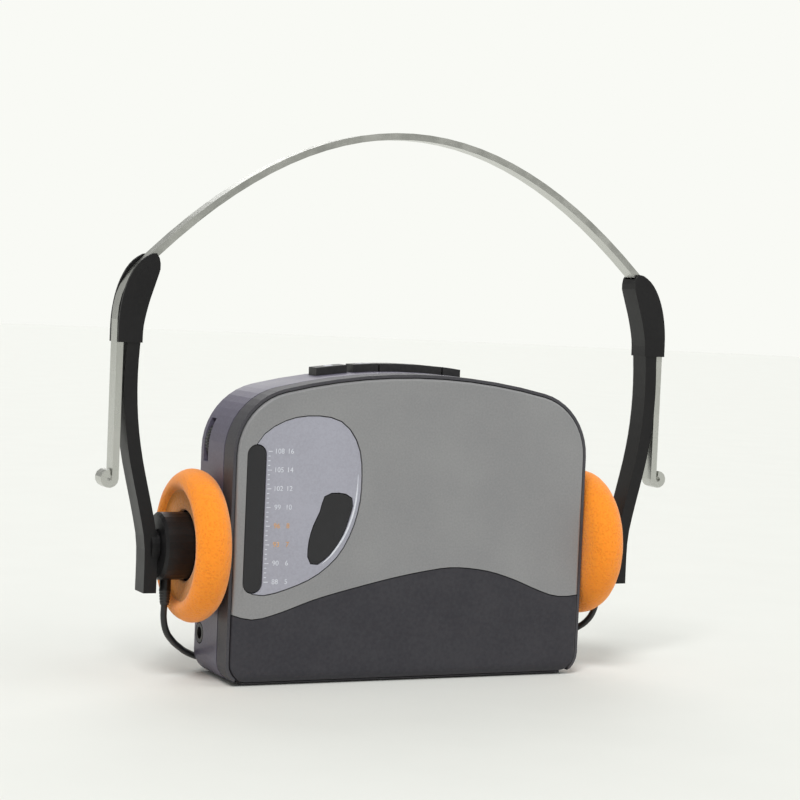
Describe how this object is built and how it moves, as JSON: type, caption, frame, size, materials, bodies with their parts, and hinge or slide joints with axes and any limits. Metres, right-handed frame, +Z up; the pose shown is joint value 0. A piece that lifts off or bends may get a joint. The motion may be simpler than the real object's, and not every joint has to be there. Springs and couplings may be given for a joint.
{
  "type": "portable radio cassette player",
  "caption": "Portable radio cassette player with a front door, top keys and side thumbwheels, standing with its steel-band foam headphones clamped over it.",
  "frame": {"origin": "under the middle of the player, on the surface that it stands on", "axes": "+X to the right seen from the front, +Y to the back (the door faces -Y), +Z up"},
  "size_m": [0.1894, 0.0783, 0.165],
  "materials": {
    "shell_plastic": "satin",
    "door_edge_plastic": "satin",
    "upper_cover_plastic": "satin",
    "lower_cover_plastic": "satin",
    "dial_plastic": "satin",
    "smoked_window": "polished",
    "black_plastic": "satin",
    "wheel_plastic": "matte",
    "spring_steel": "satin",
    "zinc_steel": "satin",
    "brass": "polished",
    "drive_rubber": "matte",
    "ear_foam": "matte",
    "board": "satin",
    "cell_jacket": "gloss",
    "spindle_plastic": "satin",
    "lead_jacket": "satin"
  },
  "bodies": {
    "root": {"back_shell": "shell_plastic", "case_screw_1": "zinc_steel", "case_screw_2": "zinc_steel", "case_screw_3": "zinc_steel", "case_screw_4": "zinc_steel", "headphone_jack": "black_plastic", "power_socket": "black_plastic", "door_catch": "zinc_steel", "chassis_plate": "zinc_steel", "motor": "zinc_steel", "drive_belt": "drive_rubber", "circuit_board": "board", "battery_cell_1": "cell_jacket", "battery_cell_2": "cell_jacket", "battery_spring": "zinc_steel", "battery_contact": "zinc_steel", "ear_pad_left": "ear_foam", "ear_pad_right": "ear_foam", "driver_housing_left": "black_plastic", "driver_housing_right": "black_plastic", "lead_left": "lead_jacket", "lead_right": "lead_jacket", "lead_splitter": "lead_jacket", "main_lead_start": "lead_jacket", "main_lead_coil": "lead_jacket", "main_lead_end": "lead_jacket", "plug_sleeve": "lead_jacket", "plug_contact": "spring_steel"},
    "door": {"door_frame": "door_edge_plastic", "door_upper_cover": "upper_cover_plastic", "door_lower_cover": "lower_cover_plastic", "dial_panel": "dial_plastic", "dial_window": "smoked_window", "tape_window": "smoked_window", "hinge_pin_left": "zinc_steel", "hinge_pin_right": "zinc_steel"},
    "head_unit": {"head_plate": "zinc_steel", "playback_head": "zinc_steel"},
    "arms": {"arm_left": "black_plastic", "arm_right": "black_plastic"},
    "stop_key": {"stop_key": "black_plastic"},
    "rewind_key": {"rewind_key": "black_plastic"},
    "play_key": {"play_key": "black_plastic"},
    "forward_key": {"forward_key": "black_plastic"},
    "pinch_arm": {"pinch_arm": "zinc_steel"},
    "pinch_roller": {"pinch_roller": "drive_rubber"},
    "supply_spindle": {"supply_spindle": "spindle_plastic"},
    "takeup_spindle": {"takeup_spindle": "spindle_plastic"},
    "capstan": {"capstan_flywheel": "zinc_steel"},
    "idler": {"idler_wheel": "drive_rubber"},
    "motor_rotor": {"motor_pulley": "brass"},
    "tuning_wheel": {"tuning_wheel": "wheel_plastic"},
    "dial_pointer": {"dial_pointer": "black_plastic"},
    "volume_wheel": {"volume_wheel": "wheel_plastic"},
    "function_switch": {"function_switch": "black_plastic"},
    "battery_lid": {"battery_lid": "shell_plastic"},
    "headband": {"headband": "spring_steel"}
  },
  "joints": [
    {"name": "door_hinge", "type": "hinge", "parent": "root", "child": "door", "pos_m": [0, -0.01075, 0.00425], "axis": [1, 0, 0], "range_deg": [0, 45]},
    {"name": "stop_key_press", "type": "slide", "parent": "root", "child": "stop_key", "axis": [0, 0, -1], "range_m": [0, 0.0024], "stiffness_N_per_m": 300, "springref_m": -0.004},
    {"name": "rewind_key_press", "type": "slide", "parent": "root", "child": "rewind_key", "axis": [0, 0, -1], "range_m": [0, 0.0024], "stiffness_N_per_m": 300, "springref_m": -0.004},
    {"name": "play_key_press", "type": "slide", "parent": "root", "child": "play_key", "axis": [0, 0, -1], "range_m": [0, 0.0024], "stiffness_N_per_m": 300, "springref_m": -0.004},
    {"name": "forward_key_press", "type": "slide", "parent": "root", "child": "forward_key", "axis": [0, 0, -1], "range_m": [0, 0.0024], "stiffness_N_per_m": 300, "springref_m": -0.004},
    {"name": "head_slide", "type": "slide", "parent": "root", "child": "head_unit", "axis": [0, 0, -1], "range_m": [0, 0.0036]},
    {"name": "pinch_arm_pivot", "type": "hinge", "parent": "root", "child": "pinch_arm", "pos_m": [-0.046, 0, 0.0785], "axis": [0, 1, 0], "range_deg": [0, 21]},
    {"name": "pinch_roller_spin", "type": "hinge", "parent": "pinch_arm", "child": "pinch_roller", "pos_m": [-0.033, 0, 0.0814], "axis": [0, 1, 0], "continuous": true},
    {"name": "supply_spin", "type": "hinge", "parent": "root", "child": "supply_spindle", "pos_m": [0.02125, 0, 0.0438], "axis": [0, 1, 0], "continuous": true},
    {"name": "capstan_spin", "type": "hinge", "parent": "root", "child": "capstan", "pos_m": [-0.032, 0, 0.0713], "axis": [0, 1, 0], "continuous": true},
    {"name": "takeup_spin", "type": "hinge", "parent": "root", "child": "takeup_spindle", "pos_m": [-0.02125, 0, 0.0438], "axis": [0, 1, 0], "continuous": true},
    {"name": "idler_spin", "type": "hinge", "parent": "root", "child": "idler", "pos_m": [-0.02754, 0, 0.05988], "axis": [0, 1, 0], "continuous": true},
    {"name": "motor_spin", "type": "hinge", "parent": "root", "child": "motor_rotor", "pos_m": [0.03, 0, 0.066], "axis": [0, 1, 0], "continuous": true},
    {"name": "tuning_turn", "type": "hinge", "parent": "root", "child": "tuning_wheel", "pos_m": [-0.0516, 0.009, 0.07], "axis": [0, 1, 0], "range_deg": [0, 270]},
    {"name": "pointer_slide", "type": "slide", "parent": "root", "child": "dial_pointer", "axis": [0, 0, 1], "range_m": [0, 0.032]},
    {"name": "volume_turn", "type": "hinge", "parent": "root", "child": "volume_wheel", "pos_m": [0.0516, 0.009, 0.07], "axis": [0, 1, 0], "range_deg": [0, 300]},
    {"name": "switch_slide", "type": "slide", "parent": "root", "child": "function_switch", "axis": [1, 0, 0], "range_m": [0, 0.006]},
    {"name": "battery_lid_lift", "type": "slide", "parent": "root", "child": "battery_lid", "axis": [0, 1, 0], "range_m": [0, 0.009]},
    {"name": "arms_tilt", "type": "hinge", "parent": "root", "child": "arms", "pos_m": [0, 0, 0.04], "axis": [1, 0, 0], "range_deg": [-15, 15]},
    {"name": "headband_adjust", "type": "slide", "parent": "arms", "child": "headband", "axis": [0, 0, 1], "range_m": [0, 0.034]}
  ],
  "couplings": [
    {"joint": "head_slide", "follows": "play_key_press", "ratio": 1.5},
    {"joint": "pinch_arm_pivot", "follows": "play_key_press", "rad_per_m": 152.56},
    {"joint": "takeup_spin", "follows": "capstan_spin", "ratio": 0.5},
    {"joint": "idler_spin", "follows": "capstan_spin", "ratio": -0.6884},
    {"joint": "motor_spin", "follows": "capstan_spin", "ratio": 4},
    {"joint": "tuning_turn", "follows": "pointer_slide", "rad_per_m": 147.19}
  ]
}
